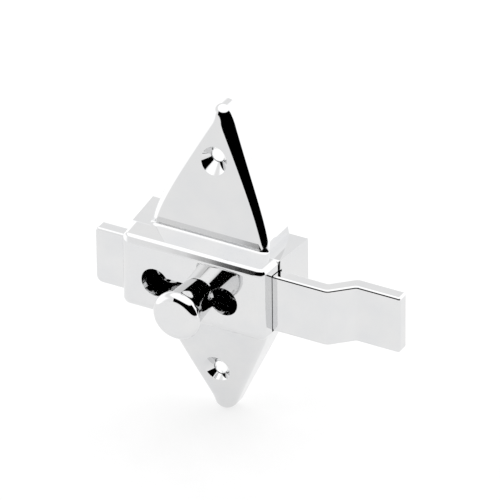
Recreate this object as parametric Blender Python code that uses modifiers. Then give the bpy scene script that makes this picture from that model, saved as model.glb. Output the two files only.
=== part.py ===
"""Surface-mounted partition slide latch: a cast base with two pointed ears, a boxed cover with a
dog-bone slot, and a joggled flat bar that a round knob slides along X.

Frame: +X along the bar towards its thrown end, -Y the front, +Z up. The door is the plane Y = 0 and
the origin is the middle of the housing on that plane. Metres throughout."""

import math

import bmesh
import bpy
from mathutils import Matrix, Vector

MM = 0.001

# Housing: a cover in front of a deeper base, both a little wider towards the door
DEPTH = 28.8 * MM
COVER_DEPTH = 10.0 * MM
COVER_HALF_WIDTH = 28.9 * MM
COVER_HALF_HEIGHT = 14.6 * MM
COVER_SPREAD = 0.7 * MM
COVER_FRONT_WALL = 6.0 * MM
COVER_ROUNDING = 2.4 * MM
GAP = 0.3 * MM
BASE_HALF_WIDTH = 30.2 * MM
BASE_HALF_HEIGHT = 14.2 * MM
BASE_SPREAD = 0.4 * MM
BASE_CORNER = 1.6 * MM
BASE_WALL = 2.6 * MM
WEB_THICKNESS = 4.0 * MM
LIP_REACH = 1.3 * MM
LIP_DEPTH = 1.9 * MM

# Dog-bone slot in the cover
SLOT_HEIGHT_OFFSET = -1.7 * MM
SLOT_SIDE_OFFSET = -1.0 * MM
LOBE_SPACING = 28.0 * MM
LOBE_DIAMETER = 11.0 * MM
SLOT_NARROW = 6.0 * MM
SLOT_WALL = 2.2 * MM
RECESS_HALF_LENGTH = 23.5 * MM
RECESS_HALF_HEIGHT = 8.6 * MM

# Ears: wedges whose faces lean back towards rounded tips, hollow behind
EAR_ROOT_HALF_WIDTH = 24.0 * MM
EAR_TIP = 63.6 * MM
EAR_TIP_RADIUS = 4.6 * MM
EAR_TIP_SWEEP = 65.3
EAR_ROOT_DEPTH = 12.3 * MM
EAR_LEAN = 0.18
EAR_WALL = 3.6 * MM
EAR_RIM = 2.6 * MM
EAR_HOLLOW_TOP = 55.0 * MM
EAR_EDGE_AT_ROOT = 3.0 * MM
EAR_EDGE_AT_TIP = 5.8 * MM
EAR_ROOT_FILLET = 1.3 * MM

# Mounting holes
HOLE_SPACING = 88.9 * MM
HOLE_DIAMETER = 4.8 * MM
COUNTERSINK_DIAMETER = 10.2 * MM

# Slide bar, at rest with the knob a little right of the middle
BAR_THICKNESS = 5.3 * MM
BAR_HEIGHT = 22.8 * MM
BAR_CENTRE_HEIGHT = -1.26 * MM
BAR_LEFT = -43.1 * MM
BAR_BEND_START = 51.1 * MM
BAR_BEND_END = 59.0 * MM
BAR_RIGHT = 76.3 * MM
BAR_OFFSET = 7.6 * MM
BAR_EDGE = 1.0 * MM
BAR_BOTTOM_CORNER = 2.6 * MM
BAR_TOP_CORNER = 1.2 * MM

# Knob and its screw
KNOB_X = 2.8 * MM
KNOB_HEAD_RADIUS = 9.3 * MM
KNOB_PROJECTION = 18.5 * MM
KNOB_HEAD_THICKNESS = 3.9 * MM
KNOB_ROUNDING = 3.0 * MM
KNOB_NECK_RADIUS = 6.7 * MM
SHANK_RADIUS = 2.6 * MM
SCREW_RADIUS = 1.6 * MM
SCREW_DEPTH_IN_KNOB = 7.0 * MM
SCREW_HEAD_RADIUS = 3.1 * MM
SCREW_HEAD_HEIGHT = 2.0 * MM
WASHER_RADIUS = 3.1 * MM
WASHER_THICKNESS = 0.7 * MM
WASHER_SPLIT = 0.8 * MM

# Window in the web that the knob screw travels in
WINDOW_HALF_LENGTH = 21.0 * MM
WINDOW_HEIGHT = 7.6 * MM

# Friction spring between web and bar
SPRING_LENGTH = 34.0 * MM
SPRING_WIDTH = 5.0 * MM
SPRING_THICKNESS = 0.4 * MM
SPRING_BOW = 0.9 * MM
SPRING_HEIGHT = 6.6 * MM
SPRING_POCKET_DEPTH = 1.7 * MM
SPRING_TAB = 6.0 * MM
RIVET_RADIUS = 1.2 * MM
RIVET_HEAD_RADIUS = 1.9 * MM
RIVET_HEAD_HEIGHT = 0.5 * MM

# Screws that hold the cover to the base from behind
COVER_SCREW_X = 16.5 * MM
COVER_SCREW_Z = 12.9 * MM
COVER_SCREW_RADIUS = 0.8 * MM
COVER_SCREW_HEAD_RADIUS = 1.6 * MM
COVER_SCREW_BITE = 5.0 * MM

FRONT = -DEPTH
BASE_FRONT = FRONT + COVER_DEPTH + GAP
BAR_FRONT = FRONT + COVER_FRONT_WALL + GAP
BAR_BACK = BAR_FRONT + BAR_THICKNESS
WEB_FRONT = BAR_BACK + GAP
WEB_BACK = WEB_FRONT + WEB_THICKNESS
ARC_STEPS = 8
FAR = 100 * MM


def clear_scene():
    for thing in list(bpy.data.objects):
        bpy.data.objects.remove(thing, do_unlink=True)


def new_collection(name, hidden=False):
    collection = bpy.data.collections.new(name)
    bpy.context.scene.collection.children.link(collection)
    collection.hide_render = hidden
    return collection


def material(name, colour, metallic, roughness):
    made = bpy.data.materials.new(name)
    made.use_nodes = True
    shader = made.node_tree.nodes["Principled BSDF"]
    shader.inputs["Base Color"].default_value = (*colour, 1)
    shader.inputs["Metallic"].default_value = metallic
    shader.inputs["Roughness"].default_value = roughness
    made.diffuse_color = (*colour, 1)
    return made


def add_object(name, mesh, collection):
    made = bpy.data.objects.new(name, mesh)
    collection.objects.link(made)
    if collection.hide_render:
        made.hide_render = True
        made.display_type = "WIRE"
    return made


def box(name, low, high, collection):
    low, high = Vector(low), Vector(high)
    shape = bmesh.new()
    bmesh.ops.create_cube(shape, size=1, matrix=Matrix.Diagonal((*(high - low), 1)))
    mesh = bpy.data.meshes.new(name)
    shape.to_mesh(mesh)
    shape.free()
    made = add_object(name, mesh, collection)
    made.location = (low + high) / 2
    return made


def cone_along_y(name, centre, front_radius, back_radius, front, back, collection, sides=48):
    """A cylinder or cone on the line X, Z = centre, from Y = front to Y = back."""
    shape = bmesh.new()
    bmesh.ops.create_cone(
        shape, cap_ends=True, segments=sides, radius1=front_radius, radius2=back_radius, depth=back - front
    )
    bmesh.ops.rotate(shape, verts=shape.verts, matrix=Matrix.Rotation(-math.pi / 2, 3, "X"))
    mesh = bpy.data.meshes.new(name)
    shape.to_mesh(mesh)
    shape.free()
    made = add_object(name, mesh, collection)
    made.location = (centre[0], (front + back) / 2, centre[1])
    return made


def arc(centre, radius, start, end, steps=ARC_STEPS):
    """Points on a circle from the start angle to the end angle, in degrees."""
    angles = [math.radians(start + (end - start) * i / steps) for i in range(steps + 1)]
    return [(centre[0] + radius * math.cos(a), centre[1] + radius * math.sin(a)) for a in angles]


def bezier(p0, p1, p2, p3, steps=ARC_STEPS):
    points = []
    for i in range(steps + 1):
        t = i / steps
        weights = ((1 - t) ** 3, 3 * t * (1 - t) ** 2, 3 * t * t * (1 - t), t**3)
        points.append(tuple(sum(w * p[k] for w, p in zip(weights, (p0, p1, p2, p3))) for k in (0, 1)))
    return points


def rounded_path(corners, radius, steps=ARC_STEPS):
    """A closed outline with each corner given as (x, y, radius factor) rounded by an arc-like curve."""
    points = []
    count = len(corners)
    for i, (x, y, factor) in enumerate(corners):
        here = Vector((x, y))
        before = Vector(corners[i - 1][:2])
        after = Vector(corners[(i + 1) % count][:2])
        towards_before = (before - here).normalized()
        towards_after = (after - here).normalized()
        half_turn = towards_before.angle(towards_after) / 2
        if factor == 0:
            points.append((x, y))
            continue
        reach = radius * factor / math.tan(half_turn)
        start = here + towards_before * reach
        end = here + towards_after * reach
        inward = (towards_before + towards_after).normalized()
        centre = here + inward * (radius * factor / math.sin(half_turn))
        spoke = start - centre
        sweep = (end - centre).angle_signed(spoke)
        for k in range(steps + 1):
            turn = Matrix.Rotation(sweep * k / steps, 2)
            points.append(tuple(centre + turn @ spoke))
    return points


def prism(name, outline, half_thickness, matrix, collection):
    """A flat outline as a filled 2D curve, extruded both ways and turned into a welded mesh."""
    curve = bpy.data.curves.new(name, "CURVE")
    curve.dimensions = "2D"
    curve.fill_mode = "BOTH"
    curve.extrude = half_thickness
    spline = curve.splines.new("POLY")
    spline.points.add(len(outline) - 1)
    for point, (x, y) in zip(spline.points, outline):
        point.co = (x, y, 0, 1)
    spline.use_cyclic_u = True
    drawn = bpy.data.objects.new(name + "_curve", curve)
    collection.objects.link(drawn)
    drawn.matrix_world = matrix
    bpy.context.view_layer.update()
    evaluated = drawn.evaluated_get(bpy.context.evaluated_depsgraph_get())
    mesh = bpy.data.meshes.new_from_object(evaluated)
    shape = bmesh.new()
    shape.from_mesh(mesh)
    bmesh.ops.remove_doubles(shape, verts=shape.verts, dist=1e-6)
    bmesh.ops.recalc_face_normals(shape, faces=shape.faces)
    shape.to_mesh(mesh)
    shape.free()
    mesh.name = name
    made = add_object(name, mesh, collection)
    made.matrix_world = drawn.matrix_world.copy()
    bpy.data.objects.remove(drawn, do_unlink=True)
    return made


# Curve planes: X-Z seen from the front, Y-Z seen from the side and X-Y seen from above.
FRONT_PLANE = Matrix(((1, 0, 0, 0), (0, 0, -1, 0), (0, 1, 0, 0), (0, 0, 0, 1)))
SIDE_PLANE = Matrix(((0, 0, 1, 0), (1, 0, 0, 0), (0, 1, 0, 0), (0, 0, 0, 1)))
TOP_PLANE = Matrix.Identity(4)


def turned(name, profile, centre, collection, steps=48):
    """A profile of (radius, Y) points, front end first, turned about the line X, Z = centre."""
    shape = bmesh.new()
    verts = [shape.verts.new((radius, -along, 0)) for radius, along in profile]
    for a, b in zip(verts, verts[1:]):
        shape.edges.new((a, b))
    bmesh.ops.rotate(shape, verts=shape.verts, matrix=Matrix.Rotation(math.pi / 2, 3, "X"))
    mesh = bpy.data.meshes.new(name)
    shape.to_mesh(mesh)
    shape.free()
    made = add_object(name, mesh, collection)
    spin = made.modifiers.new("Turn", "SCREW")
    spin.axis = "Z"
    spin.steps = steps
    spin.render_steps = steps
    spin.use_merge_vertices = True
    spin.merge_threshold = 1e-6
    made.rotation_euler = (math.pi / 2, 0, 0)
    made.location = (centre[0], 0, centre[1])
    return made


def boolean(target, cutter, operation="DIFFERENCE"):
    step = target.modifiers.new(cutter.name, "BOOLEAN")
    step.operation = operation
    step.solver = "EXACT"
    step.object = cutter


def bevel(target, width, segments=3, angle=30):
    step = target.modifiers.new("Edge", "BEVEL")
    step.width = width
    step.segments = segments
    step.limit_method = "ANGLE"
    step.angle_limit = math.radians(angle)
    step.use_clamp_overlap = True


def ear_edge():
    """(half width, height) points up one side of the ear and round to the middle of its tip."""
    tip = arc((0, EAR_TIP - EAR_TIP_RADIUS), EAR_TIP_RADIUS, 90 - EAR_TIP_SWEEP, 90, 7)
    touch = tip[0]
    side = bezier(
        (EAR_ROOT_HALF_WIDTH, BASE_HALF_HEIGHT),
        (EAR_ROOT_HALF_WIDTH - 0.8 * MM, BASE_HALF_HEIGHT + 8.3 * MM),
        (touch[0] + 10.9 * MM, touch[1] - 23.6 * MM),
        touch,
        14,
    )
    return side + tip[1:]


def ear_front(z):
    return FRONT + EAR_ROOT_DEPTH + EAR_LEAN * (z - BASE_HALF_HEIGHT)


def ear_edge_radius(z):
    share = (z - BASE_HALF_HEIGHT) / (EAR_TIP - BASE_HALF_HEIGHT)
    return EAR_EDGE_AT_ROOT + (EAR_EDGE_AT_TIP - EAR_EDGE_AT_ROOT) * share


def ear_face(z):
    """The face's Y at a height: a root fillet, the leaning face, then the rounding at the tip."""
    radius = ear_edge_radius(EAR_TIP)
    above_round = z - (EAR_TIP - radius)
    if above_round > 0:
        return ear_front(z) + radius - math.sqrt(max(radius**2 - above_round**2, 0))
    below_fillet = BASE_HALF_HEIGHT + EAR_ROOT_FILLET - z
    if below_fillet > 0:
        ledge = EAR_ROOT_DEPTH - COVER_DEPTH - 2 * GAP
        share = min(below_fillet / EAR_ROOT_FILLET, 1)
        return ear_front(z) - ledge * (1 - math.sqrt(1 - share**2))
    return ear_front(z)


def ear(name, side, collection):
    """One solid ear, lofted from level slices: door plane, side wall, rounded edge and flat face."""
    edge = ear_edge()
    fillet = [(EAR_ROOT_HALF_WIDTH, BASE_HALF_HEIGHT + EAR_ROOT_FILLET * f) for f in (0.08, 0.2, 0.4, 0.7)]
    above = [point for point in edge[:-1] if point[1] > BASE_HALF_HEIGHT + EAR_ROOT_FILLET]
    root = (EAR_ROOT_HALF_WIDTH, BASE_HALF_HEIGHT - 1 * MM)
    levels = [root, edge[0]] + fillet + above + [(0.05 * MM, EAR_TIP)]
    shape = bmesh.new()
    rows = []
    for half, z in levels:
        front = ear_face(z)
        radius = min(ear_edge_radius(z), half * 0.98, -front * 0.9)
        x, y = half - radius, front + radius
        rim = [(x + radius * math.sin(a), y - radius * math.cos(a)) for a in quarter(0, 90)]
        section = rim + [(half, 0)]
        row = [(-x, y) for x, y in reversed(section)] + section
        rows.append([shape.verts.new((x, y, side * z)) for x, y in row])
    for below, above in zip(rows, rows[1:]):
        for k in range(len(below)):
            n = (k + 1) % len(below)
            shape.faces.new((below[k], below[n], above[n], above[k]))
    shape.faces.new(rows[0])
    shape.faces.new(rows[-1])
    bmesh.ops.recalc_face_normals(shape, faces=shape.faces)
    mesh = bpy.data.meshes.new(name)
    shape.to_mesh(mesh)
    shape.free()
    return add_object(name, mesh, collection)


def both_ways(points):
    """A side outline of (Y, Z) points for Z >= 0, given front to back, closed by its mirror below."""
    return points + [(y, -z) for y, z in reversed(points)]


def ear_hollow(cutters):
    """The open space behind the ears' faces, inside their side walls."""
    top = EAR_HOLLOW_TOP
    shoulder = (EAR_ROOT_HALF_WIDTH - EAR_RIM, BASE_HALF_HEIGHT)
    upper = [shoulder, (2.6 * MM, top), (-2.6 * MM, top), (-shoulder[0], shoulder[1])]
    outline = upper + [(x, -z) for x, z in reversed(upper)]
    walls = prism("ear_hollow", outline, FAR, FRONT_PLANE, cutters)
    face = [(ear_front(z) + EAR_WALL, z) for z in (BASE_HALF_HEIGHT + 2 * MM, top)]
    inner = [(WEB_BACK, BASE_HALF_HEIGHT + 0.7 * MM)] + face + [(5 * MM, top + 5 * MM)]
    depth = prism("ear_hollow_depth", both_ways(inner), FAR / 2, SIDE_PLANE, cutters)
    boolean(walls, depth, "INTERSECT")
    return walls


def mounting_hole(side, label, cutters):
    """A through hole with its 90 degree countersink, drilled square to the door."""
    face = ear_front(HOLE_SPACING / 2)
    proud = 1.5 * MM
    wide = COUNTERSINK_DIAMETER / 2
    radius = HOLE_DIAMETER / 2
    profile = [(0, face - proud), (wide + proud, face - proud), (radius, face + wide - radius)]
    profile += [(radius, 5 * MM), (0, 5 * MM)]
    return turned("hole_" + label, profile, (0, side * HOLE_SPACING / 2), cutters)


def tapered_block(name, plan, side_half, collection, helpers):
    """A block from its plan outline, cut to a side view that is side_half high front and back."""
    block = prism(name, plan, FAR, TOP_PLANE, collection)
    (front, front_half), (back, back_half) = side_half
    side = [(front, front_half), (back, back_half), (back, -back_half), (front, -front_half)]
    boolean(block, prism(name + "_side", side, FAR, SIDE_PLANE, helpers), "INTERSECT")
    return block


def base_plan():
    """The base seen from above: rounded front corners, spreading sides and a small lip at the door."""
    wide = BASE_HALF_WIDTH + BASE_SPREAD
    corner = arc((BASE_HALF_WIDTH - BASE_CORNER, BASE_FRONT + BASE_CORNER), BASE_CORNER, -90, 0, 6)
    lip = bezier(
        (wide, -LIP_DEPTH),
        (wide, -LIP_DEPTH * 0.45),
        (wide + LIP_REACH * 0.4, -LIP_DEPTH * 0.2),
        (wide + LIP_REACH, -LIP_DEPTH * 0.12),
        5,
    )
    half = corner + lip + [(wide + LIP_REACH, 0)]
    return half + [(-x, y) for x, y in reversed(half)]


def base_casting(parts, cutters):
    back_half = BASE_HALF_HEIGHT + 0.2 * MM
    heights = ((BASE_FRONT, BASE_HALF_HEIGHT), (0, back_half))
    web = tapered_block("base_casting", base_plan(), heights, parts, cutters)
    boolean(web, ear("upper_ear", 1, cutters), "UNION")
    boolean(web, ear("lower_ear", -1, cutters), "UNION")
    inside = (BASE_HALF_WIDTH - BASE_WALL, BASE_HALF_HEIGHT - BASE_WALL)
    low = (-inside[0], WEB_BACK, -inside[1])
    boolean(web, box("base_hollow", low, (inside[0], 5 * MM, inside[1]), cutters))
    boolean(web, bar_channel("base_channel", FRONT, WEB_FRONT, cutters))
    boolean(web, ear_hollow(cutters))
    for side, label in ((1, "upper"), (-1, "lower")):
        boolean(web, mounting_hole(side, label, cutters))
    low = SLOT_HEIGHT_OFFSET - WINDOW_HEIGHT / 2
    high = SLOT_HEIGHT_OFFSET + WINDOW_HEIGHT / 2
    corners = (-WINDOW_HALF_LENGTH, FRONT, low), (WINDOW_HALF_LENGTH, 0, high)
    boolean(web, box("knob_screw_window", *corners, cutters))
    half = SPRING_LENGTH / 2 + 1 * MM
    half_width = SPRING_WIDTH / 2 + 0.5 * MM
    pocket = box(
        "spring_pocket",
        (-half, WEB_FRONT - 1 * MM, SPRING_HEIGHT - half_width),
        (half, WEB_FRONT + SPRING_POCKET_DEPTH, SPRING_HEIGHT + half_width),
        cutters,
    )
    boolean(web, pocket)
    for x in spring_rivet_places():
        hole = RIVET_RADIUS + GAP
        name = "rivet_hole_left" if x < 0 else "rivet_hole_right"
        boolean(web, cone_along_y(name, (x, SPRING_HEIGHT), hole, hole, FRONT, 0, cutters, 24))
    for number, (x, z) in enumerate(cover_screw_places(), 1):
        hole = COVER_SCREW_RADIUS + GAP
        name = f"base_screw_hole_{number}"
        boolean(web, cone_along_y(name, (x, z), hole, hole, FRONT, WEB_BACK + 1 * MM, cutters, 24))
    return web


def front_cover(parts, cutters):
    behind = FRONT + 1.5 * COVER_DEPTH
    wide = COVER_HALF_WIDTH + 1.5 * COVER_SPREAD
    plan = [(-COVER_HALF_WIDTH, FRONT), (COVER_HALF_WIDTH, FRONT), (wide, behind), (-wide, behind)]
    heights = ((FRONT, COVER_HALF_HEIGHT), (behind, COVER_HALF_HEIGHT + 0.6 * COVER_SPREAD))
    cover = tapered_block("front_cover", plan, heights, parts, cutters)
    bevel(cover, COVER_ROUNDING, 4)
    trim = box("cover_trim", (-FAR, FRONT + COVER_DEPTH, -FAR), (FAR, FAR, FAR), cutters)
    boolean(cover, trim)
    boolean(cover, bar_channel("cover_channel", FRONT + COVER_FRONT_WALL, FAR / 2, cutters))
    recess = box(
        "slot_recess",
        (SLOT_SIDE_OFFSET - RECESS_HALF_LENGTH, FRONT + SLOT_WALL, SLOT_HEIGHT_OFFSET - RECESS_HALF_HEIGHT),
        (SLOT_SIDE_OFFSET + RECESS_HALF_LENGTH, BAR_FRONT, SLOT_HEIGHT_OFFSET + RECESS_HALF_HEIGHT),
        cutters,
    )
    boolean(cover, recess)
    boolean(cover, dog_bone(cutters))
    for number, (x, z) in enumerate(cover_screw_places(), 1):
        hole = COVER_SCREW_RADIUS + GAP
        front = FRONT + COVER_DEPTH - COVER_SCREW_BITE - GAP
        name = f"cover_screw_hole_{number}"
        boolean(cover, cone_along_y(name, (x, z), hole, hole, front, 0, cutters, 24))
    return cover


def bar_channel(name, front, back, cutters):
    """The bar's way through the housing, with clearance above and below it."""
    half = BAR_HEIGHT / 2 + GAP
    low = (-FAR, front, BAR_CENTRE_HEIGHT - half)
    return box(name, low, (FAR, back, BAR_CENTRE_HEIGHT + half), cutters)


def dog_bone(cutters):
    """The slot outline: a round lobe at each end joined by a narrower straight neck."""
    lobe = LOBE_DIAMETER / 2
    narrow = SLOT_NARROW / 2
    meet = math.degrees(math.asin(narrow / lobe))
    right = arc((LOBE_SPACING / 2, 0), lobe, -180 + meet, 180 - meet, 40)
    left = arc((-LOBE_SPACING / 2, 0), lobe, meet, 360 - meet, 40)
    place = FRONT_PLANE.copy()
    place.translation = (SLOT_SIDE_OFFSET, 0, SLOT_HEIGHT_OFFSET)
    return prism("dog_bone_slot", right + left, FAR / 2, place, cutters)


def slide_bar(parts, cutters):
    """The flat bar, bent backwards near its thrown end so that its tip lies nearer the door."""
    front, back, step = BAR_FRONT, BAR_BACK, BAR_OFFSET
    slope = (BAR_BEND_END - BAR_BEND_START) / step
    lag = BAR_THICKNESS * (math.sqrt(1 + slope * slope) - slope)
    radius = 2.2 * MM
    plan = [
        (BAR_LEFT, front, 0),
        (BAR_BEND_START, front, 1.8),
        (BAR_BEND_END, front + step, 0.6),
        (BAR_RIGHT, front + step, 0),
        (BAR_RIGHT, back + step, 0),
        (BAR_BEND_END - lag, back + step, 1.8),
        (BAR_BEND_START - lag, back, 0.6),
        (BAR_LEFT, back, 0),
    ]
    bar = prism("slide_bar", rounded_path(plan, radius), BAR_HEIGHT / 2, TOP_PLANE, parts)
    bar.location.z = BAR_CENTRE_HEIGHT
    low = BAR_CENTRE_HEIGHT - BAR_HEIGHT / 2
    high = BAR_CENTRE_HEIGHT + BAR_HEIGHT / 2
    bottom = BAR_BOTTOM_CORNER / BAR_TOP_CORNER
    face = [(BAR_LEFT, low, bottom), (BAR_RIGHT, low, 1), (BAR_RIGHT, high, 1), (BAR_LEFT, high, 1)]
    corners = prism("bar_corners", rounded_path(face, BAR_TOP_CORNER), FAR, FRONT_PLANE, cutters)
    boolean(bar, corners, "INTERSECT")
    bevel(bar, BAR_EDGE, 2, 30)
    hole = SCREW_RADIUS + GAP
    boolean(bar, cone_along_y("knob_screw_hole", knob_centre(), hole, hole, FRONT, 0, cutters, 32))
    return bar


def knob_centre():
    return (KNOB_X, SLOT_HEIGHT_OFFSET)


def knob(parts, cutters):
    """Turned knob: flat cap with a wide rounded rim, tapering neck, and a shank through the slot."""
    cap = FRONT - KNOB_PROJECTION
    rim = KNOB_HEAD_RADIUS
    crown = 0.1 * MM
    edge = KNOB_ROUNDING
    rounded = [(0, cap), (rim * 0.5, cap + crown * 0.5)]
    shoulder = (rim - edge, cap + crown + edge)
    rounded += [(shoulder[0] + edge * math.sin(a), shoulder[1] - edge * math.cos(a)) for a in quarter(0, 90)]
    under = cap + KNOB_HEAD_THICKNESS
    rounded += [(rim, under - 0.5 * MM)]
    flare = bezier(
        (rim - 0.5 * MM, under),
        (KNOB_NECK_RADIUS + 1.0 * MM, under + 0.3 * MM),
        (KNOB_NECK_RADIUS + 1.0 * MM, under + 2.2 * MM),
        (KNOB_NECK_RADIUS + 0.85 * MM, under + 4.2 * MM),
        7,
    )
    foot = [(KNOB_NECK_RADIUS, FRONT - GAP - 0.4 * MM), (KNOB_NECK_RADIUS - 0.3 * MM, FRONT - GAP)]
    foot += [(SHANK_RADIUS, FRONT - GAP)]
    end = [(SHANK_RADIUS, BAR_FRONT - GAP), (0, BAR_FRONT - GAP)]
    made = turned("knob", rounded + flare + foot + end, knob_centre(), parts)
    hole = SCREW_RADIUS + GAP
    bottom = BAR_FRONT - GAP - SCREW_DEPTH_IN_KNOB - GAP
    boolean(made, cone_along_y("knob_tapping", knob_centre(), hole, hole, bottom, 0, cutters, 32))
    return made


def quarter(start, end, steps=5):
    return [math.radians(start + (end - start) * i / steps) for i in range(steps + 1)]


def knob_screw(parts, cutters):
    """Pan-head screw from behind the bar, with a cross recess in its head."""
    seat = BAR_BACK + GAP + WASHER_THICKNESS + GAP
    tip = BAR_FRONT - GAP - SCREW_DEPTH_IN_KNOB
    back = seat + SCREW_HEAD_HEIGHT
    radius, head = SCREW_RADIUS, SCREW_HEAD_RADIUS
    profile = [(0, tip), (radius - 0.4 * MM, tip), (radius, tip + 0.5 * MM), (radius, seat)]
    profile += [(head, seat), (head, seat + 1.1 * MM)]
    profile += [(head - 0.8 * MM, back - 0.2 * MM), (head - 1.5 * MM, back), (0, back)]
    made = turned("knob_screw", profile, knob_centre(), parts, 32)
    cross_recess(made, knob_centre(), back, 1.7 * MM, 0.5 * MM, 1.0 * MM, cutters)
    return made


def cross_recess(target, centre, back, reach, width, depth, cutters):
    """Two crossed slots cut into a screw head from behind."""
    x, z = centre
    for label, dx, dz in (("across", reach, width / 2), ("upright", width / 2, reach)):
        low = (x - dx, back - depth, z - dz)
        high = (x + dx, back + 1 * MM, z + dz)
        boolean(target, box(f"{target.name}_recess_{label}", low, high, cutters))


def lock_washer(parts, cutters):
    """Split spring washer under the knob screw's head."""
    low = BAR_BACK + GAP
    inner = SCREW_RADIUS + GAP
    outer, high = WASHER_RADIUS, low + WASHER_THICKNESS
    made = cone_along_y("lock_washer", knob_centre(), outer, outer, low, high, parts)
    boolean(made, cone_along_y("washer_hole", knob_centre(), inner, inner, FRONT, 0, cutters, 32))
    x, z = knob_centre()
    half = WASHER_SPLIT / 2
    boolean(made, box("washer_split", (x - half, FRONT, z), (x + half, 0, z + 6 * MM), cutters))
    return made


def spring_rivet_places():
    place = SPRING_LENGTH / 2 - SPRING_TAB / 2
    return (-place, place)


def friction_spring(parts, cutters):
    """Bowed leaf in the web's pocket: flat tabs riveted at both ends, its crown towards the bar."""
    floor = WEB_FRONT + SPRING_POCKET_DEPTH - GAP
    flat = SPRING_LENGTH / 2 - SPRING_TAB
    count = 12
    bow = []
    for i in range(count + 1):
        along = -flat + 2 * flat * i / count
        rise = SPRING_BOW * 0.5 * (1 + math.cos(math.pi * along / flat))
        bow.append((along, floor - rise))
    centre = [(-SPRING_LENGTH / 2, floor)] + bow + [(SPRING_LENGTH / 2, floor)]
    outline = centre + [(x, y - SPRING_THICKNESS) for x, y in reversed(centre)]
    spring = prism("friction_spring", outline, SPRING_WIDTH / 2, TOP_PLANE, parts)
    spring.location.z = SPRING_HEIGHT
    for x in spring_rivet_places():
        hole = RIVET_RADIUS + GAP
        name = "spring_hole_left" if x < 0 else "spring_hole_right"
        boolean(spring, cone_along_y(name, (x, SPRING_HEIGHT), hole, hole, FRONT, 0, cutters, 24))
    return spring


def spring_rivets(parts):
    """One rivet at each end of the spring, set flush behind the web."""
    rivets = []
    spring_front = WEB_FRONT + SPRING_POCKET_DEPTH - GAP - SPRING_THICKNESS
    head_back = spring_front - GAP
    for x in spring_rivet_places():
        crown = head_back - RIVET_HEAD_HEIGHT
        profile = [(0, crown), (RIVET_HEAD_RADIUS - 0.5 * MM, crown), (RIVET_HEAD_RADIUS, crown + 0.3 * MM)]
        profile += [(RIVET_HEAD_RADIUS, head_back), (RIVET_RADIUS, head_back)]
        profile += [(RIVET_RADIUS, WEB_BACK - 0.2 * MM), (0, WEB_BACK - 0.2 * MM)]
        name = "spring_rivet_left" if x < 0 else "spring_rivet_right"
        rivets.append(turned(name, profile, (x, SPRING_HEIGHT), parts, 24))
    return rivets


def cover_screw_places():
    return [(-COVER_SCREW_X, COVER_SCREW_Z), (COVER_SCREW_X, COVER_SCREW_Z)]


def cover_screws(parts, cutters):
    """Small pan-head screws from behind the web into the cover's top wall."""
    screws = []
    seat = WEB_BACK + GAP
    tip = FRONT + COVER_DEPTH - COVER_SCREW_BITE
    back = seat + 1.2 * MM
    for number, (x, z) in enumerate(cover_screw_places(), 1):
        radius, head = COVER_SCREW_RADIUS, COVER_SCREW_HEAD_RADIUS
        profile = [(0, tip), (radius - 0.3 * MM, tip), (radius, tip + 0.4 * MM), (radius, seat)]
        profile += [(head, seat), (head, seat + 0.7 * MM), (head - 0.6 * MM, back), (0, back)]
        screw = turned(f"cover_screw_{number}", profile, (x, z), parts, 24)
        slot = 0.2 * MM
        low = (x - 3 * MM, back - 0.5 * MM, z - slot)
        high = (x + 3 * MM, back + 1 * MM, z + slot)
        boolean(screw, box(f"cover_screw_slot_{number}", low, high, cutters))
        screws.append(screw)
    return screws


def joint_frame(name, members, place, collection):
    """An empty that carries the pieces that move together."""
    frame = bpy.data.objects.new(name, None)
    collection.objects.link(frame)
    frame.location = place
    bpy.context.view_layer.update()
    for member in members:
        member.parent = frame
        member.matrix_parent_inverse = frame.matrix_world.inverted()


def build():
    clear_scene()
    parts = new_collection("partition_slide_latch")
    cutters = new_collection("cutters", hidden=True)
    chrome = material("polished_chrome", (0.86, 0.86, 0.87), 1.0, 0.05)
    bright = material("bright_chrome", (0.88, 0.88, 0.89), 1.0, 0.04)
    steel = material("zinc_plated_steel", (0.62, 0.63, 0.65), 1.0, 0.32)
    spring_steel = material("blued_spring_steel", (0.28, 0.29, 0.32), 1.0, 0.3)
    rivet_metal = material("rivet_aluminium", (0.75, 0.75, 0.76), 1.0, 0.4)

    fixed = {chrome: [base_casting(parts, cutters), front_cover(parts, cutters)]}
    fixed[spring_steel] = [friction_spring(parts, cutters)]
    fixed[rivet_metal] = spring_rivets(parts)
    fixed[steel] = cover_screws(parts, cutters)
    moving = {bright: [slide_bar(parts, cutters), knob(parts, cutters)]}
    moving[steel] = [knob_screw(parts, cutters), lock_washer(parts, cutters)]
    for group in (fixed, moving):
        for finish, pieces in group.items():
            for piece in pieces:
                piece.data.materials.clear()
                piece.data.materials.append(finish)
    carried = [piece for pieces in moving.values() for piece in pieces]
    knob_place = (KNOB_X, BAR_FRONT + BAR_THICKNESS / 2, SLOT_HEIGHT_OFFSET)
    joint_frame("slide_axis", carried, knob_place, parts)


build()
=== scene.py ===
"""Looks for the partition slide latch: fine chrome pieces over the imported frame, a pale floor and a
plain white studio with one dark opening in front, which the chrome mirrors."""

import math

import bmesh
import bpy
from mathutils import Matrix, Quaternion, Vector


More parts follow.
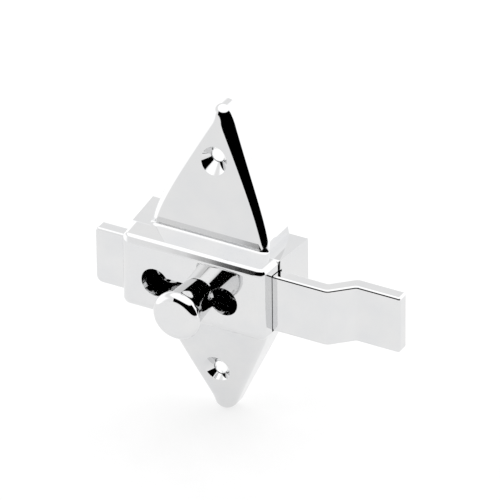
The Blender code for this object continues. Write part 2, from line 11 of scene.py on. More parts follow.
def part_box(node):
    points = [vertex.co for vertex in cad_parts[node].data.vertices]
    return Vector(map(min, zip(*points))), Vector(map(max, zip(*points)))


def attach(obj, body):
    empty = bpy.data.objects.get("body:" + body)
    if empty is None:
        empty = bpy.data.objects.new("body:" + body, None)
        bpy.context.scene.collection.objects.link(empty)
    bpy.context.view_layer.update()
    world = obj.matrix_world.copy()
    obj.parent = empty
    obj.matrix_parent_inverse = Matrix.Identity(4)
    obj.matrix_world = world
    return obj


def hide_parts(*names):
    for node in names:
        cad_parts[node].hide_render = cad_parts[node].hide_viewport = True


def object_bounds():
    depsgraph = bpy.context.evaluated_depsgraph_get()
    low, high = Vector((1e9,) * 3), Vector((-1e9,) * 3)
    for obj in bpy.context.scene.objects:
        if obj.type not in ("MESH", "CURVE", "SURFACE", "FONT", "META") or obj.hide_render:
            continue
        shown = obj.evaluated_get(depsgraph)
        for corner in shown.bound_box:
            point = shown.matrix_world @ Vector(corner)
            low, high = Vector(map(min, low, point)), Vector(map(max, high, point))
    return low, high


MM = 0.001
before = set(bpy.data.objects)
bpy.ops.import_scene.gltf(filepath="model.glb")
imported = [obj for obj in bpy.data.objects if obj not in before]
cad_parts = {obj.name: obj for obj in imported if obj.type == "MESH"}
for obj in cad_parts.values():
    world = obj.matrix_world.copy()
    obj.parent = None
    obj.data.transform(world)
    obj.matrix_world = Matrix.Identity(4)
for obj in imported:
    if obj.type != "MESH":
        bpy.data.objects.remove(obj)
CAD_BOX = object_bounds()

COVER_LOW, COVER_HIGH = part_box("front_cover")
BASE_LOW, BASE_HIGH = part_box("base_casting")
BAR_LOW, BAR_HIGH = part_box("slide_bar")
KNOB_LOW, KNOB_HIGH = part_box("knob")

# Housing
FRONT = COVER_LOW.y
COVER_BACK = COVER_HIGH.y
COVER_SPREAD = 0.7 * MM
COVER_HALF_WIDTH = COVER_HIGH.x - COVER_SPREAD
COVER_HALF_HEIGHT = 14.6 * MM
COVER_FRONT_WALL = 6.0 * MM
COVER_ROUNDING = 2.4 * MM
COVER_FACE_ROUNDING = 3.4 * MM
COVER_CORNER = 2.2 * MM
GAP = 0.3 * MM
BASE_HALF_WIDTH = 30.2 * MM
BASE_HALF_HEIGHT = 14.2 * MM
BASE_SPREAD = 1.5 * MM
BASE_CORNER = 1.6 * MM
BASE_TOP_ROUNDING = 1.0 * MM
BASE_WALL = 2.6 * MM
BASE_FRONT = COVER_BACK + GAP
WEB_THICKNESS = 4.0 * MM

# Slot
SLOT_HEIGHT = -1.7 * MM
SLOT_SIDE = -1.0 * MM
LOBE_SPACING = 28.0 * MM
LOBE_DIAMETER = 11.0 * MM
SLOT_NARROW = 6.0 * MM
SLOT_WALL = 2.2 * MM
RECESS = (23.5 * MM, 8.6 * MM)

# Ears. The cant turns their faces a quarter of a degree, so that they mirror the right part of the room
EAR_ROOT_HALF_WIDTH = 24.0 * MM
EAR_TIP = BASE_HIGH.z
EAR_TIP_RADIUS = 4.6 * MM
EAR_TIP_SWEEP = 65.3
EAR_ROOT_DEPTH = 12.3 * MM
EAR_LEAN = 0.18
EAR_WALL = 3.6 * MM
EAR_RIM = 2.6 * MM
EAR_HOLLOW_TOP = 55.0 * MM
EAR_EDGE_AT_ROOT = 3.0 * MM
EAR_EDGE_AT_TIP = 5.8 * MM
EAR_NOSE = 3.6 * MM
EAR_ROOT_FILLET = 0.7 * MM
EAR_CANT = -0.0045
HOLE_HEIGHT = 44.45 * MM
HOLE_RADIUS = 2.4 * MM
COUNTERSINK_RADIUS = 5.1 * MM

# Bar
BAR_THICKNESS = 5.3 * MM
BAR_FRONT = BAR_LOW.y
WEB_FRONT = BAR_FRONT + BAR_THICKNESS + GAP
WEB_BACK = WEB_FRONT + WEB_THICKNESS
BAR_CENTRE = (BAR_LOW.z + BAR_HIGH.z) / 2
BAR_BEND_START = 51.1 * MM
BAR_BEND_END = 59.0 * MM
BAR_OFFSET = 7.6 * MM
BAR_EDGE = 1.0 * MM
BAR_BOTTOM_CORNER = 2.6 * MM
BAR_TOP_CORNER = 1.2 * MM

# Knob
KNOB_X = (KNOB_LOW.x + KNOB_HIGH.x) / 2
KNOB_RADIUS = (KNOB_HIGH.x - KNOB_LOW.x) / 2
KNOB_FRONT = KNOB_LOW.y
KNOB_HEAD_THICKNESS = 3.9 * MM
KNOB_ROUNDING = 3.0 * MM
KNOB_NECK_RADIUS = 6.7 * MM
SHANK_RADIUS = 2.6 * MM
KNOB_HOLE_RADIUS = 1.9 * MM
KNOB_HOLE_DEPTH = 7.3 * MM

# Behind the bar: (half length, half height) and (half length, depth, half height), then the small holes
WINDOW = (21 * MM, 3.8 * MM)
POCKET = (18 * MM, 1.7 * MM, 3.0 * MM)
SPRING_HEIGHT = 6.6 * MM
RIVET_X = 14 * MM
RIVET_HOLE_RADIUS = 1.5 * MM
COVER_SCREW_X = 16.5 * MM
COVER_SCREW_Z = 12.9 * MM
COVER_SCREW_BITE = 5.0 * MM
COVER_SCREW_HOLE_RADIUS = 1.1 * MM

RIM_ANGLES = [math.radians(90 * k / 12) for k in range(13)]
FAR = 100 * MM
FRONT_PLANE = Matrix(((1, 0, 0, 0), (0, 0, -1, 0), (0, 1, 0, 0), (0, 0, 0, 1)))
SIDE_PLANE = Matrix(((0, 0, 1, 0), (1, 0, 0, 0), (0, 1, 0, 0), (0, 0, 0, 1)))
TOP_PLANE = Matrix.Identity(4)

cutters = []


def link(name, mesh):
    made = bpy.data.objects.new(name, mesh)
    bpy.context.scene.collection.objects.link(made)
    return made


def arc(centre, radius, start, end, steps=10):
    angles = [math.radians(start + (end - start) * i / steps) for i in range(steps + 1)]
    return [(centre[0] + radius * math.cos(a), centre[1] + radius * math.sin(a)) for a in angles]


def bezier(p0, p1, p2, p3, steps=12):
    points = []
    for i in range(steps + 1):
        t = i / steps
        weights = ((1 - t) ** 3, 3 * t * (1 - t) ** 2, 3 * t * t * (1 - t), t**3)
        points.append(tuple(sum(w * p[k] for w, p in zip(weights, (p0, p1, p2, p3))) for k in (0, 1)))
    return points


def rounded_path(corners, radius, steps=10):
    points = []
    count = len(corners)
    for i, (x, y, factor) in enumerate(corners):
        if factor == 0:
            points.append((x, y))
            continue
        here = Vector((x, y))
        towards_before = (Vector(corners[i - 1][:2]) - here).normalized()
        towards_after = (Vector(corners[(i + 1) % count][:2]) - here).normalized()
        half_turn = towards_before.angle(towards_after) / 2
        reach = radius * factor / math.tan(half_turn)
        start = here + towards_before * reach
        end = here + towards_after * reach
        inward = (towards_before + towards_after).normalized()
        centre = here + inward * (radius * factor / math.sin(half_turn))
        spoke = start - centre
        sweep = (end - centre).angle_signed(spoke)
        for k in range(steps + 1):
            points.append(tuple(centre + Matrix.Rotation(sweep * k / steps, 2) @ spoke))
    return points


def prism(name, outline, half_thickness, matrix):
    """A closed outline swept both ways along its plane's normal."""
    shape = bmesh.new()
    low = [shape.verts.new(matrix @ Vector((x, y, -half_thickness))) for x, y in outline]
    high = [shape.verts.new(matrix @ Vector((x, y, half_thickness))) for x, y in outline]
    count = len(outline)
    for i in range(count):
        j = (i + 1) % count
        shape.faces.new((low[i], low[j], high[j], high[i]))
    shape.faces.new(low)
    shape.faces.new(high)
    bmesh.ops.recalc_face_normals(shape, faces=shape.faces)
    mesh = bpy.data.meshes.new(name)
    shape.to_mesh(mesh)
    shape.free()
    return link(name, mesh)


def turned(name, profile, centre, steps=96):
    """(radius, Y) points turned about the line X, Z = centre."""
    shape = bmesh.new()
    rings = []
    for radius, along in profile:
        if radius == 0:
            rings.append([shape.verts.new((centre[0], along, centre[1]))])
            continue
        ring = []
        for k in range(steps):
            turn = 2 * math.pi * k / steps
            place = (centre[0] + radius * math.cos(turn), along, centre[1] + radius * math.sin(turn))
            ring.append(shape.verts.new(place))
        rings.append(ring)
    for a, b in zip(rings, rings[1:]):
        for k in range(steps):
            n = (k + 1) % steps
            corners = [a[k % len(a)], a[n % len(a)], b[n % len(b)], b[k % len(b)]]
            unique = list(dict.fromkeys(corners))
            if len(unique) > 2:
                shape.faces.new(unique)
    bmesh.ops.recalc_face_normals(shape, faces=shape.faces)
    mesh = bpy.data.meshes.new(name)
    shape.to_mesh(mesh)
    shape.free()
    return link(name, mesh)


def drilled(name, radius, front, back, centre, steps=32):
    """A round hole's cutter along Y."""
    return turned(name, [(0, front), (radius, front), (radius, back), (0, back)], centre, steps)


def box(name, low, high):
    outline = [(low[0], low[1]), (high[0], low[1]), (high[0], high[1]), (low[0], high[1])]
    made = prism(name, outline, (high[2] - low[2]) / 2, TOP_PLANE)
    made.data.transform(Matrix.Translation((0, 0, (low[2] + high[2]) / 2)))
    return made


def boolean(target, cutter, operation="DIFFERENCE"):
    step = target.modifiers.new(cutter.name, "BOOLEAN")
    step.operation = operation
    step.solver = "EXACT"
    step.object = cutter
    cutters.append(cutter)


def bevel(target, width, segments=4, angle=35):
    step = target.modifiers.new("Edge", "BEVEL")
    step.width = width
    step.segments = segments
    step.limit_method = "ANGLE"
    step.angle_limit = math.radians(angle)
    step.use_clamp_overlap = True


def settle(piece):
    """Applies the piece's modifiers to its mesh."""
    bpy.context.view_layer.update()
    evaluated = piece.evaluated_get(bpy.context.evaluated_depsgraph_get())
    mesh = bpy.data.meshes.new_from_object(evaluated)
    mesh.name = piece.name
    piece.modifiers.clear()
    piece.data = mesh
    shape = bmesh.new()
    shape.from_mesh(mesh)
    bmesh.ops.remove_doubles(shape, verts=shape.verts, dist=2e-6)
    bmesh.ops.dissolve_degenerate(shape, edges=shape.edges, dist=1e-6)
    shape.to_mesh(mesh)
    shape.free()
    return piece


def shade(piece, sharp=38):
    """Smooth shading that keeps flat faces flat and edges beyond the sharp angle crisp."""
    piece.data.shade_smooth()
    piece.data.set_sharp_from_angle(angle=math.radians(sharp))
    normals = piece.modifiers.new("Normals", "WEIGHTED_NORMAL")
    normals.keep_sharp = True
    normals.weight = 60


# ---------------------------------------------------------------- ears


def ear_edge():
    """(half width, height) points up one side of the ear and round to the middle of its tip."""
    tip = arc((0, EAR_TIP - EAR_TIP_RADIUS), EAR_TIP_RADIUS, 90 - EAR_TIP_SWEEP, 90, 18)
    touch = tip[0]
    side = bezier(
        (EAR_ROOT_HALF_WIDTH, BASE_HALF_HEIGHT),
        (EAR_ROOT_HALF_WIDTH - 0.8 * MM, BASE_HALF_HEIGHT + 8.3 * MM),
        (touch[0] + 10.9 * MM, touch[1] - 23.6 * MM),
        touch,
        40,
    )
    return side + tip[1:]


def ear_front(z):
    return FRONT + EAR_ROOT_DEPTH + EAR_LEAN * (z - BASE_HALF_HEIGHT)


def ear_edge_radius(z):
    share = (z - BASE_HALF_HEIGHT) / (EAR_TIP - BASE_HALF_HEIGHT)
    return EAR_EDGE_AT_ROOT + (EAR_EDGE_AT_TIP - EAR_EDGE_AT_ROOT) * share * abs(share)


def ear_face(z):
    """The face's Y at a height: a root fillet, the leaning face, then the rounding at the tip."""
    above_round = z - (EAR_TIP - EAR_NOSE)
    if above_round > 0:
        return ear_front(z) + EAR_NOSE - math.sqrt(max(EAR_NOSE**2 - above_round**2, 0))
    below_fillet = BASE_HALF_HEIGHT + EAR_ROOT_FILLET - z
    if below_fillet > 0:
        ledge = FRONT + EAR_ROOT_DEPTH - BASE_FRONT - GAP
        share = min(below_fillet / EAR_ROOT_FILLET, 1)
        return ear_front(z) - ledge * (1 - math.sqrt(1 - share**2))
    return ear_front(z)


def ear(name, side):
    """One ear, lofted from level slices: door plane, side wall, rounded edge and flat face."""
    edge = ear_edge()
    steps = [0.02, 0.06, 0.12, 0.2, 0.3, 0.42, 0.56, 0.72, 0.9]
    fillet = [(EAR_ROOT_HALF_WIDTH, BASE_HALF_HEIGHT + EAR_ROOT_FILLET * f) for f in steps]
    root = (EAR_ROOT_HALF_WIDTH, BASE_HALF_HEIGHT - 1 * MM)
    above = [point for point in edge[:-1] if point[1] > BASE_HALF_HEIGHT + EAR_ROOT_FILLET]
    levels = [root, edge[0]] + fillet + above + [(0.05 * MM, EAR_TIP)]
    shape = bmesh.new()
    rows = []
    for half, z in levels:
        front = ear_face(z)
        radius = min(ear_edge_radius(z), half * 0.98, -front * 0.9)
        x, y = half - radius, front + radius
        rim = [(x + radius * math.sin(a), y - radius * math.cos(a)) for a in RIM_ANGLES]
        right = [(x, y + EAR_CANT * x) for x, y in rim] + [(half, 0)]
        left = [(-x, y - EAR_CANT * x) for x, y in rim] + [(-half, 0)]
        row = left[::-1] + right
        rows.append([shape.verts.new((x, y, side * z)) for x, y in row])
    for below, above in zip(rows, rows[1:]):
        for k in range(len(below)):
            n = (k + 1) % len(below)
            shape.faces.new((below[k], below[n], above[n], above[k]))
    shape.faces.new(rows[0])
    shape.faces.new(rows[-1])
    bmesh.ops.recalc_face_normals(shape, faces=shape.faces)
    mesh = bpy.data.meshes.new(name)
    shape.to_mesh(mesh)
    shape.free()
    return link(name, mesh)


def ear_hollow():
    top = EAR_HOLLOW_TOP
    shoulder = (EAR_ROOT_HALF_WIDTH - EAR_RIM, BASE_HALF_HEIGHT)
    upper = [shoulder, (2.6 * MM, top), (-2.6 * MM, top), (-shoulder[0], shoulder[1])]
    outline = upper + [(x, -z) for x, z in reversed(upper)]
    walls = prism("ear_hollow", outline, FAR, FRONT_PLANE)
    face = [(ear_front(z) + EAR_WALL, z) for z in (BASE_HALF_HEIGHT + 2 * MM, top)]
    inner = [(WEB_BACK, BASE_HALF_HEIGHT + 0.7 * MM)] + face + [(5 * MM, top + 5 * MM)]
    profile = inner + [(y, -z) for y, z in reversed(inner)]
    boolean(walls, prism("ear_hollow_depth", profile, FAR / 2, SIDE_PLANE), "INTERSECT")
    return walls


def base_plan():
    corner = arc((BASE_HALF_WIDTH - BASE_CORNER, BASE_FRONT + BASE_CORNER), BASE_CORNER, -90, 0, 8)
    half = corner + [(BASE_HALF_WIDTH + BASE_SPREAD, 0)]
    return half + [(-x, y) for x, y in reversed(half)]


def housing_base():
    base = prism("housing_base", base_plan(), FAR, TOP_PLANE)
    rounding = BASE_TOP_ROUNDING
    top = arc((BASE_FRONT + rounding, BASE_HALF_HEIGHT - rounding), rounding, 180, 90, 6)
    side = top + [(0, BASE_HALF_HEIGHT + 0.2 * MM)]
    side = side + [(y, -z) for y, z in reversed(side)]
    boolean(base, prism("base_side", side, FAR, SIDE_PLANE), "INTERSECT")
    bevel(base, 0.45 * MM, 4, 40)
    settle(base)
    boolean(base, ear("upper_ear", 1), "UNION")
    boolean(base, ear("lower_ear", -1), "UNION")
    x, z = BASE_HALF_WIDTH - BASE_WALL, BASE_HALF_HEIGHT - BASE_WALL
    boolean(base, box("base_hollow", (-x, WEB_BACK, -z), (x, 5 * MM, z)))
    boolean(base, bar_channel(FRONT, WEB_FRONT))
    boolean(base, ear_hollow())
    for sign in (1, -1):
        boolean(base, mounting_hole(sign))
    x, z = WINDOW
    boolean(base, box("window", (-x, FRONT, SLOT_HEIGHT - z), (x, 0, SLOT_HEIGHT + z)))
    x, depth, z = POCKET
    low = (-x, WEB_FRONT - 1 * MM, SPRING_HEIGHT - z)
    boolean(base, box("pocket", low, (x, WEB_FRONT + depth, SPRING_HEIGHT + z)))
    for x in (-RIVET_X, RIVET_X):
        boolean(base, drilled("rivet_hole", RIVET_HOLE_RADIUS, FRONT, 0, (x, SPRING_HEIGHT)))
    for x in (-COVER_SCREW_X, COVER_SCREW_X):
        place = (x, COVER_SCREW_Z)
        boolean(base, drilled("screw_hole", COVER_SCREW_HOLE_RADIUS, FRONT, WEB_BACK + MM, place))
    settle(base)
    shade(base, 27)
    return base


def bar_channel(front, back):
    half = (BAR_HIGH.z - BAR_LOW.z) / 2 + GAP
    return box("bar_channel", (-FAR, front, BAR_CENTRE - half), (FAR, back, BAR_CENTRE + half))


def mounting_hole(side):
    face = ear_front(HOLE_HEIGHT)
    proud = 1.5 * MM
    edge = 0.25 * MM
    wide = COUNTERSINK_RADIUS
    depth = wide - HOLE_RADIUS
    profile = [(0, face - proud), (wide + proud, face - proud), (HOLE_RADIUS + edge, face + depth - edge)]
    profile += [(HOLE_RADIUS, face + depth + edge), (HOLE_RADIUS, 5 * MM), (0, 5 * MM)]
    return turned("mounting_hole", profile, (0, side * HOLE_HEIGHT), 96)


# ---------------------------------------------------------------- cover, bar and knob


def dog_bone():
    lobe = LOBE_DIAMETER / 2
    narrow = SLOT_NARROW / 2
    meet = math.degrees(math.asin(narrow / lobe))
    right = arc((SLOT_SIDE + LOBE_SPACING / 2, SLOT_HEIGHT), lobe, -180 + meet, 180 - meet, 56)
    left = arc((SLOT_SIDE - LOBE_SPACING / 2, SLOT_HEIGHT), lobe, meet, 360 - meet, 56)
    return prism("dog_bone", right + left, FAR / 2, FRONT_PLANE)


def rounded_rectangle(half_width, half_height, radius, steps=10):
    points = []
    for sign_x, sign_z, start in ((1, 1, 0), (-1, 1, 90), (-1, -1, 180), (1, -1, 270)):
        centre = (sign_x * (half_width - radius), sign_z * (half_height - radius))
        points += arc(centre, radius, start, start + 90, steps)
    return points


def cover_block():
    """The cover's outside: rounded rectangles from its flat face back over a soft shoulder."""
    rings = []
    for angle in (math.radians(90 * k / 14) for k in range(15)):
        inset = COVER_FACE_ROUNDING * (1 - math.sin(angle))
        rings.append((FRONT + COVER_ROUNDING * (1 - math.cos(angle)), inset))
    rings.append((COVER_BACK, 0))
    shape = bmesh.new()
    loops = []
    for y, inset in rings:
        share = (y - FRONT) / (COVER_BACK - FRONT)
        half_width = COVER_HALF_WIDTH + COVER_SPREAD * share - inset
        half_height = COVER_HALF_HEIGHT + 0.4 * COVER_SPREAD * share - inset
        outline = rounded_rectangle(half_width, half_height, COVER_CORNER)
        loops.append([shape.verts.new((x, y, z)) for x, z in outline])
    for front, back in zip(loops, loops[1:]):
        for k in range(len(front)):
            n = (k + 1) % len(front)
            shape.faces.new((front[k], front[n], back[n], back[k]))
    shape.faces.new(loops[0])
    shape.faces.new(loops[-1])
    bmesh.ops.recalc_face_normals(shape, faces=shape.faces)
    mesh = bpy.data.meshes.new("housing_cover")
    shape.to_mesh(mesh)
    shape.free()
    return link("housing_cover", mesh)


def housing_cover():
    cover = cover_block()
    boolean(cover, bar_channel(FRONT + COVER_FRONT_WALL, FAR / 2))
    x, z = RECESS
    low = (SLOT_SIDE - x, FRONT + SLOT_WALL, SLOT_HEIGHT - z)
    boolean(cover, box("slot_recess", low, (SLOT_SIDE + x, BAR_FRONT, SLOT_HEIGHT + z)))
    boolean(cover, dog_bone())
    bevel(cover, 0.22 * MM, 3, 45)
    front = COVER_BACK - COVER_SCREW_BITE - GAP
    for x in (-COVER_SCREW_X, COVER_SCREW_X):
        boolean(cover, drilled("cover_hole", COVER_SCREW_HOLE_RADIUS, front, 0, (x, COVER_SCREW_Z)))
    settle(cover)
    shade(cover)
    return cover


def latch_bar():
    front, back, step = BAR_FRONT, BAR_FRONT + BAR_THICKNESS, BAR_OFFSET
    slope = (BAR_BEND_END - BAR_BEND_START) / step
    lag = BAR_THICKNESS * (math.sqrt(1 + slope * slope) - slope)
    plan = [
        (BAR_LOW.x, front, 0),
        (BAR_BEND_START, front, 1.8),
        (BAR_BEND_END, front + step, 0.6),
        (BAR_HIGH.x, front + step, 0),
        (BAR_HIGH.x, back + step, 0),
        (BAR_BEND_END - lag, back + step, 1.8),
        (BAR_BEND_START - lag, back, 0.6),
        (BAR_LOW.x, back, 0),
    ]
    bar = prism("latch_bar", rounded_path(plan, 2.2 * MM, 14), FAR, TOP_PLANE)
    bottom = BAR_BOTTOM_CORNER / BAR_TOP_CORNER
    face = [(BAR_LOW.x, BAR_LOW.z, bottom), (BAR_HIGH.x, BAR_LOW.z, 1)]
    face += [(BAR_HIGH.x, BAR_HIGH.z, 1), (BAR_LOW.x, BAR_HIGH.z, 1)]
    boolean(bar, prism("bar_corners", rounded_path(face, BAR_TOP_CORNER), FAR, FRONT_PLANE), "INTERSECT")
    settle(bar)
    bevel(bar, BAR_EDGE, 6, 35)
    boolean(bar, drilled("bar_hole", KNOB_HOLE_RADIUS, FRONT, 0, (KNOB_X, SLOT_HEIGHT), 48))
    settle(bar)
    shade(bar)
    return bar


def latch_knob():
    cap, rim = KNOB_FRONT, KNOB_RADIUS
    crown, edge = 0.1 * MM, KNOB_ROUNDING
    profile = [(0, cap), (rim * 0.35, cap + crown * 0.3), (rim * 0.6, cap + crown * 0.8)]
    profile += arc((rim - edge, cap + crown + edge), edge, -88, 0, 24)
    under = cap + KNOB_HEAD_THICKNESS
    profile += arc((rim - 0.45 * MM, under - 0.45 * MM), 0.45 * MM, 0, 90, 6)
    profile += bezier(
        (rim - 0.6 * MM, under),
        (KNOB_NECK_RADIUS + 1.0 * MM, under + 0.3 * MM),
        (KNOB_NECK_RADIUS + 1.0 * MM, under + 2.2 * MM),
        (KNOB_NECK_RADIUS + 0.85 * MM, under + 4.2 * MM),
        20,
    )
    profile += [(KNOB_NECK_RADIUS, FRONT - GAP - 0.4 * MM), (KNOB_NECK_RADIUS - 0.3 * MM, FRONT - GAP)]
    profile += [(SHANK_RADIUS, FRONT - GAP)]
    end = BAR_FRONT - GAP
    bottom = end - KNOB_HOLE_DEPTH
    profile += [(SHANK_RADIUS, end), (KNOB_HOLE_RADIUS, end), (KNOB_HOLE_RADIUS, bottom), (0, bottom)]
    knob = turned("latch_knob", profile, (KNOB_X, SLOT_HEIGHT), 128)
    shade(knob)
    return knob


# ---------------------------------------------------------------- materials


def nodes_of(material):
    material.use_nodes = True
    tree = material.node_tree
    return tree, tree.nodes["Principled BSDF"]


def noise(tree, scale, detail, roughness=0.5, stretch=(1, 1, 1)):
    coords = tree.nodes.new("ShaderNodeTexCoord")
    mapping = tree.nodes.new("ShaderNodeMapping")
    mapping.inputs["Scale"].default_value = stretch
    texture = tree.nodes.new("ShaderNodeTexNoise")
    texture.inputs["Scale"].default_value = scale
    texture.inputs["Detail"].default_value = detail
    texture.inputs["Roughness"].default_value = roughness
    tree.links.new(coords.outputs["Object"], mapping.inputs["Vector"])
    tree.links.new(mapping.outputs["Vector"], texture.inputs["Vector"])
    return texture.outputs["Fac"]


def spread(tree, value, low, high, from_low=0.3, from_high=0.7):
    ramp = tree.nodes.new("ShaderNodeMapRange")
    ramp.inputs["From Min"].default_value = from_low
    ramp.inputs["From Max"].default_value = from_high
    ramp.inputs["To Min"].default_value = low
    ramp.inputs["To Max"].default_value = high
    tree.links.new(value, ramp.inputs["Value"])
    return ramp.outputs["Result"]


def bump(tree, height, distance, strength=1.0, under=None):
    step = tree.nodes.new("ShaderNodeBump")
    step.inputs["Strength"].default_value = strength
    step.inputs["Distance"].default_value = distance
    tree.links.new(height, step.inputs["Height"])
    if under is not None:
        tree.links.new(under, step.inputs["Normal"])
    return step.outputs["Normal"]


def blend_colour(tree, factor, one, two):
    mix = tree.nodes.new("ShaderNodeMix")
    mix.data_type = "RGBA"
    mix.inputs["A"].default_value = (*one, 1)
    mix.inputs["B"].default_value = (*two, 1)
    tree.links.new(factor, mix.inputs["Factor"])
    return mix.outputs["Result"]


def chrome(name, waviness, grain, haze):
    """Polished chrome plate: faint orange peel, buffing lines and patches of handling haze."""
    made = bpy.data.materials.new(name)
    tree, shader = nodes_of(made)
    shader.inputs["Metallic"].default_value = 1.0
    patches = noise(tree, 90, 3)
    buffing = noise(tree, 1400, 2, 0.6, grain)
    peel = noise(tree, 160, 1)
    colour = blend_colour(tree, spread(tree, patches, 0, 1), (0.725, 0.73, 0.74), (0.755, 0.755, 0.755))
    tree.links.new(colour, shader.inputs["Base Color"])
    tree.links.new(spread(tree, patches, haze * 0.6, haze), shader.inputs["Roughness"])
    wavy = bump(tree, peel, waviness)
    tree.links.new(bump(tree, buffing, 0.12e-6, 1.0, wavy), shader.inputs["Normal"])
    return made


def plated_steel(name, low, high, rough, grain=(1, 1, 1)):
    made = bpy.data.materials.new(name)
    tree, shader = nodes_of(made)
    shader.inputs["Metallic"].default_value = 1.0
    patches = noise(tree, 420, 4)
    lines = noise(tree, 2600, 2, 0.6, grain)
    tree.links.new(blend_colour(tree, spread(tree, patches, 0, 1), low, high), shader.inputs["Base Color"])
    tree.links.new(spread(tree, lines, rough * 0.75, rough * 1.25), shader.inputs["Roughness"])
    tree.links.new(bump(tree, lines, 4e-6), shader.inputs["Normal"])
    return made


def dress(piece, material):
    piece.data.materials.clear()
    piece.data.materials.append(material)


# ---------------------------------------------------------------- studio


def studio_world():
    world = bpy.data.worlds.new("studio")
    bpy.context.scene.world = world
    world.use_nodes = True
    tree = world.node_tree
    tree.nodes.clear()
    coords = tree.nodes.new("ShaderNodeTexCoord")
    split = tree.nodes.new("ShaderNodeSeparateXYZ")
    tree.links.new(coords.outputs["Generated"], split.inputs["Vector"])

    def math_node(operation, a, b=None):
        node = tree.nodes.new("ShaderNodeMath")
        node.operation = operation
        for socket, value in zip(node.inputs, (a, b)):
            if value is None:
                continue
            if isinstance(value, (int, float)):
                socket.default_value = value
            else:
                tree.links.new(value, socket)
        return node.outputs["Value"]

    def step(value, low, high):
        node = tree.nodes.new("ShaderNodeMapRange")
        node.interpolation_type = "SMOOTHSTEP"
        node.inputs["From Min"].default_value = low
        node.inputs["From Max"].default_value = high
        tree.links.new(value, node.inputs["Value"])
        return node.outputs["Result"]

    x, y, z = split.outputs["X"], split.outputs["Y"], split.outputs["Z"]
    azimuth = math_node("ARCTAN2", x, math_node("MULTIPLY", y, -1))
    elevation = math_node("ARCSINE", z)

    def window(left, right, low, high, soft=2.0):
        """1 inside a patch of the sky between azimuths and elevations in degrees, 0 outside."""
        edges = [(azimuth, left, 1), (azimuth, right, -1), (elevation, low, 1), (elevation, high, -1)]
        mask = None
        for value, angle, sign in edges:
            a, s = math.radians(angle), math.radians(soft)
            edge = step(value, a - s, a + s)
            if sign < 0:
                edge = math_node("SUBTRACT", 1, edge)
            mask = edge if mask is None else math_node("MULTIPLY", mask, edge)
        return mask

    def inside(value, low, high, soft):
        rising = step(value, low - soft, low + soft)
        falling = math_node("SUBTRACT", 1, step(value, high - soft, high + soft))
        return math_node("MULTIPLY", rising, falling)

    light = math_node("ADD", ROOM, 0)
    for left, right, low, high, soft, change in STUDIO:
        patch = math_node("MULTIPLY", window(left, right, low, high, soft), change)
        light = math_node("ADD", light, patch)
    opening = math_node("MULTIPLY", inside(x, DARK_LEFT, 2.0, 0.004), inside(z, DARK_LOW, DARK_HIGH, 0.01))
    opening = math_node("MULTIPLY", opening, inside(azimuth, -2.0, DARK_RIGHT, 0.03))
    light = math_node("MULTIPLY", light, math_node("SUBTRACT", 1, opening))
    path = tree.nodes.new("ShaderNodeLightPath")
    pale = tree.nodes.new("ShaderNodeMix")
    tree.links.new(path.outputs["Is Camera Ray"], pale.inputs["Factor"])
    tree.links.new(light, pale.inputs["A"])
    pale.inputs["B"].default_value = 1.2
    background = tree.nodes.new("ShaderNodeBackground")
    background.inputs["Color"].default_value = (1, 1, 1, 1)
    tree.links.new(pale.outputs["Result"], background.inputs["Strength"])
    out = tree.nodes.new("ShaderNodeOutputWorld")
    tree.links.new(background.outputs["Background"], out.inputs["Surface"])


# The room's light, then (left, right, low, high, softness) in degrees and the change of light there
ROOM = 1.0
STUDIO = (
    (-200, 200, 46, 95, 5, 0.42),
    (-150, -45, -40, 25, 8, 0.38),
    (100, 200, -60, 46, 10, 0.38),
)
# The dark opening in front: where it ends, as parts of the unit direction and as an azimuth in radians
DARK_LEFT = -0.42
DARK_LOW = -0.045
DARK_HIGH = 0.675
DARK_RIGHT = math.radians(104)


def floor():
    shape = bmesh.new()
    bmesh.ops.create_circle(shape, cap_ends=True, segments=96, radius=0.3)
    mesh = bpy.data.meshes.new("floor")
    shape.to_mesh(mesh)
    shape.free()
    made = link("floor", mesh)
    made.location.z = CAD_BOX[0][2] - 0.2 * MM
    material = bpy.data.materials.new("pale_floor")
    tree, shader = nodes_of(material)
    shader.inputs["Roughness"].default_value = 0.9
    shader.inputs["Specular IOR Level"].default_value = 0.0
    grain = spread(tree, noise(tree, 60, 2), 0, 1)
    colour = blend_colour(tree, grain, (0.33, 0.33, 0.33), (0.35, 0.35, 0.35))
    tree.links.new(colour, shader.inputs["Base Color"])
    shader.inputs["Emission Color"].default_value = (1, 1, 1, 1)
    shader.inputs["Emission Strength"].default_value = 0.68
    dress(made, material)


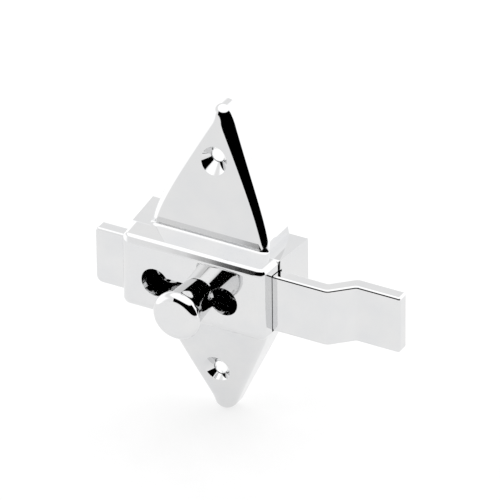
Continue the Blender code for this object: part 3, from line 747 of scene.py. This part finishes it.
def camera():
    """The photograph's view: a long lens, 29 degrees to the right and 31 degrees above."""
    azimuth, elevation, roll = math.radians(29.03), math.radians(31.29), math.radians(0.65)
    distance = 2.2814
    target = Vector((15.66 * MM, FRONT + 15 * MM, 12.51 * MM))
    level = math.cos(elevation)
    back = Vector((math.sin(azimuth) * level, -math.cos(azimuth) * level, math.sin(elevation)))
    data = bpy.data.cameras.new("camera")
    data.sensor_width = 36
    data.lens = 36 * 6414.92 / 500
    data.clip_start = 0.05
    data.clip_end = 20
    made = bpy.data.objects.new("camera", data)
    bpy.context.scene.collection.objects.link(made)
    made.rotation_mode = "QUATERNION"
    made.location = target + back * distance
    made.rotation_quaternion = back.to_track_quat("Z", "Y") @ Quaternion((0, 0, 1), -roll)
    bpy.context.scene.camera = made


# ---------------------------------------------------------------- build

camera()
studio_world()
bpy.context.scene.view_settings.view_transform = "Standard"

polished = chrome("polished_chrome", 2.0e-6, (1, 1, 14), 0.05)
bright = chrome("bright_chrome", 1.2e-6, (14, 1, 1), 0.045)

pieces = {
    "base_casting": (housing_base(), "housing", polished, "polished_chrome"),
    "front_cover": (housing_cover(), "housing", polished, "polished_chrome"),
    "slide_bar": (latch_bar(), "slide", bright, "bright_chrome"),
    "knob": (latch_knob(), "slide", bright, "bright_chrome"),
}
for cutter in cutters:
    if cutter.name in bpy.data.objects:
        bpy.data.objects.remove(cutter, do_unlink=True)
for node, (piece, body, finish, slot) in pieces.items():
    dress(piece, finish)
    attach(piece, body)
    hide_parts(node)

zinc = plated_steel("zinc_plated_steel", (0.56, 0.57, 0.60), (0.66, 0.67, 0.69), 0.3)
spring_steel = plated_steel("blued_spring_steel", (0.22, 0.23, 0.27), (0.33, 0.34, 0.37), 0.32, (1, 1, 9))
aluminium = plated_steel("rivet_aluminium", (0.7, 0.7, 0.71), (0.79, 0.79, 0.8), 0.4)
finishes = {"friction_spring": spring_steel}
finishes |= {"spring_rivet_left": aluminium, "spring_rivet_right": aluminium}
for name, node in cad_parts.items():
    if name not in pieces:
        dress(node, finishes.get(name, zinc))
        node.data.shade_smooth()
        node.data.set_sharp_from_angle(angle=math.radians(35))

floor()
